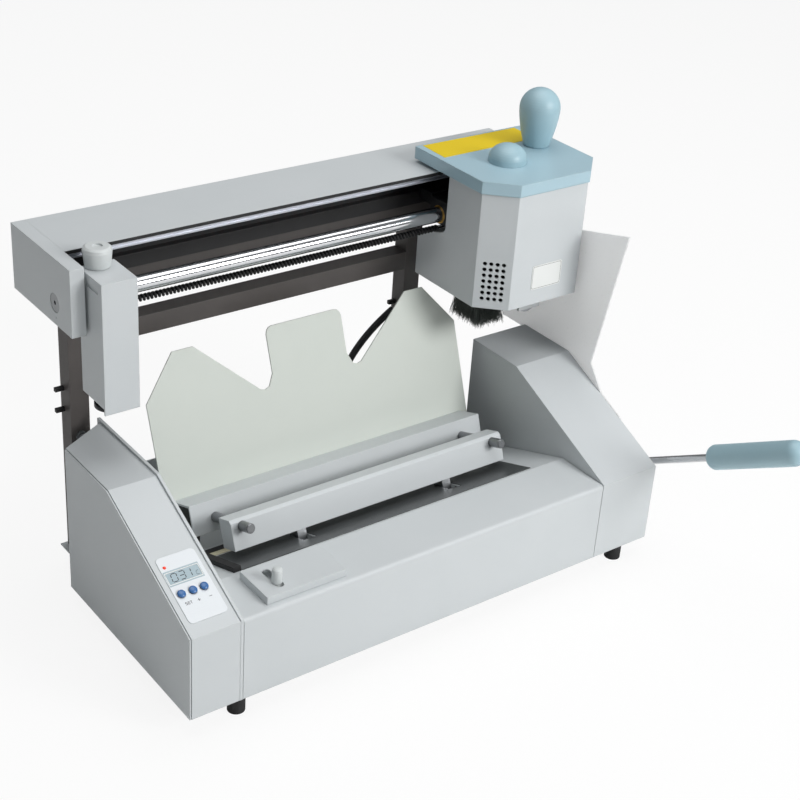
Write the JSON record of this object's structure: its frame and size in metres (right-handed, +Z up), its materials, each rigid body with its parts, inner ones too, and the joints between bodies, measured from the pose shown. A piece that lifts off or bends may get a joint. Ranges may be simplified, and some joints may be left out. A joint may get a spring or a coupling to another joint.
{
  "type": "perfect binding machine",
  "caption": "Desktop hot-melt book binding machine: leaning clamp with a crown back rest, glue head and milling carriage on one round rod, side lever that closes the clamp.",
  "frame": {"origin": "The middle of the machine's bounding box on the floor, under its feet.", "axes": "+X runs along the guide rod from the control box to the lever, the longest side. +Y points from the user to the back. +Z is up."},
  "size_m": [0.5842, 0.4936, 0.4516],
  "materials": {
    "paint_white": "satin",
    "paint_plate": "satin",
    "paint_dark": "satin",
    "paint_blue_grey": "satin",
    "grip_plastic": "satin",
    "black_plastic": "matte",
    "black_rubber": "matte",
    "steel": "satin",
    "chrome": "polished",
    "brass": "satin",
    "sticker": "gloss",
    "display": "gloss",
    "lamp": "gloss",
    "board": "matte",
    "button": "gloss",
    "aluminium": "satin",
    "aluminium_black": "satin",
    "light_plastic": "satin"
  },
  "bodies": {
    "frame": {"base_pan": "paint_white", "base_cover": "paint_white", "feet": "black_rubber", "control_cover": "paint_white", "left_panel": "paint_white", "inner_plate": "paint_white", "keypad": "sticker", "lcd_window": "display", "led_lamp": "lamp", "display_board": "board", "power_board": "board", "power_inlet": "black_plastic", "right_cover": "paint_white", "right_guard": "light_plastic", "columns": "paint_dark", "cross_bar": "paint_dark", "upper_tube": "paint_dark", "beam_cover": "paint_white", "beam_caps": "paint_white", "slide_rail": "paint_dark", "guide_rod": "chrome", "cord_wire": "paint_dark", "frame_bolts": "steel", "cable_clips": "black_plastic", "loom": "black_rubber", "rear_jaw": "paint_white", "jaw_legs": "paint_dark", "crown_plate": "paint_plate", "jaw_shafts": "chrome", "deck_plate": "paint_white", "seal_bar": "black_rubber", "bearings": "aluminium", "panel_screws": "brass"},
    "clamp_lever": {"torque_shaft": "steel", "pinions": "steel", "lever_rod": "chrome", "lever_grip": "grip_plastic"},
    "front_jaw_body": {"front_jaw": "aluminium", "racks": "steel"},
    "glue_head": {"head_housing": "paint_white", "head_plate": "paint_blue_grey", "ball_handle": "grip_plastic", "head_block": "aluminium_black", "head_bush": "brass", "glue_tank": "aluminium", "heaters": "chrome", "brush": "black_plastic", "curly_cord": "black_rubber"},
    "filler": {"filler_dome": "grip_plastic"},
    "roller": {"glue_roller": "steel"},
    "cutter": {"cutter_body": "paint_white", "cutter_block": "aluminium_black", "cutter_bush": "brass"},
    "mill": {"cutter_disc": "steel"},
    "depth_knob": {"cutter_knob": "grip_plastic"},
    "key_set": {"button_set": "button"},
    "key_plus": {"button_plus": "button"},
    "key_minus": {"button_minus": "button"},
    "stop": {"stop_knob": "light_plastic"},
    "rocker": {"power_rocker": "black_plastic"}
  },
  "joints": [
    {"name": "lever_turn", "type": "hinge", "parent": "frame", "child": "clamp_lever", "pos_m": [0.00785, 0.01477, 0.0584], "axis": [-1, 0, 0], "range_deg": [-25, 71]},
    {"name": "jaw_travel", "type": "slide", "parent": "frame", "child": "front_jaw_body", "axis": [0, 0.9397, -0.342], "range_m": [-0.01, 0.028]},
    {"name": "head_travel", "type": "slide", "parent": "frame", "child": "glue_head", "axis": [1, 0, 0], "range_m": [-0.365, 0], "deforming": ["curly_cord"]},
    {"name": "dome_lift", "type": "slide", "parent": "glue_head", "child": "filler", "axis": [0, 0, 1], "range_m": [0, 0.06]},
    {"name": "roller_spin", "type": "hinge", "parent": "glue_head", "child": "roller", "pos_m": [0.20785, 0.10977, 0.248], "axis": [0, 1, 0], "continuous": true},
    {"name": "cutter_travel", "type": "slide", "parent": "frame", "child": "cutter", "axis": [1, 0, 0], "range_m": [0, 0.365]},
    {"name": "mill_spin", "type": "hinge", "parent": "cutter", "child": "mill", "pos_m": [-0.25815, 0.12377, 0.25], "axis": [0, 0, 1], "continuous": true},
    {"name": "depth_turn", "type": "hinge", "parent": "cutter", "child": "depth_knob", "pos_m": [-0.25915, 0.13878, 0.37], "axis": [0, 0, 1], "range_deg": [-150, 150]},
    {"name": "key_set_press", "type": "slide", "parent": "frame", "child": "key_set", "axis": [0, 0.4179, -0.9085], "range_m": [0, 0.001], "stiffness_N_per_m": 600, "springref_m": -0.0008},
    {"name": "key_plus_press", "type": "slide", "parent": "frame", "child": "key_plus", "axis": [0, 0.4179, -0.9085], "range_m": [0, 0.001], "stiffness_N_per_m": 600, "springref_m": -0.0008},
    {"name": "key_minus_press", "type": "slide", "parent": "frame", "child": "key_minus", "axis": [0, 0.4179, -0.9085], "range_m": [0, 0.001], "stiffness_N_per_m": 600, "springref_m": -0.0008},
    {"name": "stop_slide", "type": "slide", "parent": "frame", "child": "stop", "axis": [0, 1, 0], "range_m": [-0.0045, 0.0175]},
    {"name": "rocker_tilt", "type": "hinge", "parent": "frame", "child": "rocker", "pos_m": [-0.25815, 0.17577, 0.084], "axis": [-1, 0, 0], "range_deg": [0, 12]}
  ],
  "couplings": [
    {"joint": "jaw_travel", "follows": "lever_turn", "m_per_rad": 0.0225}
  ]
}
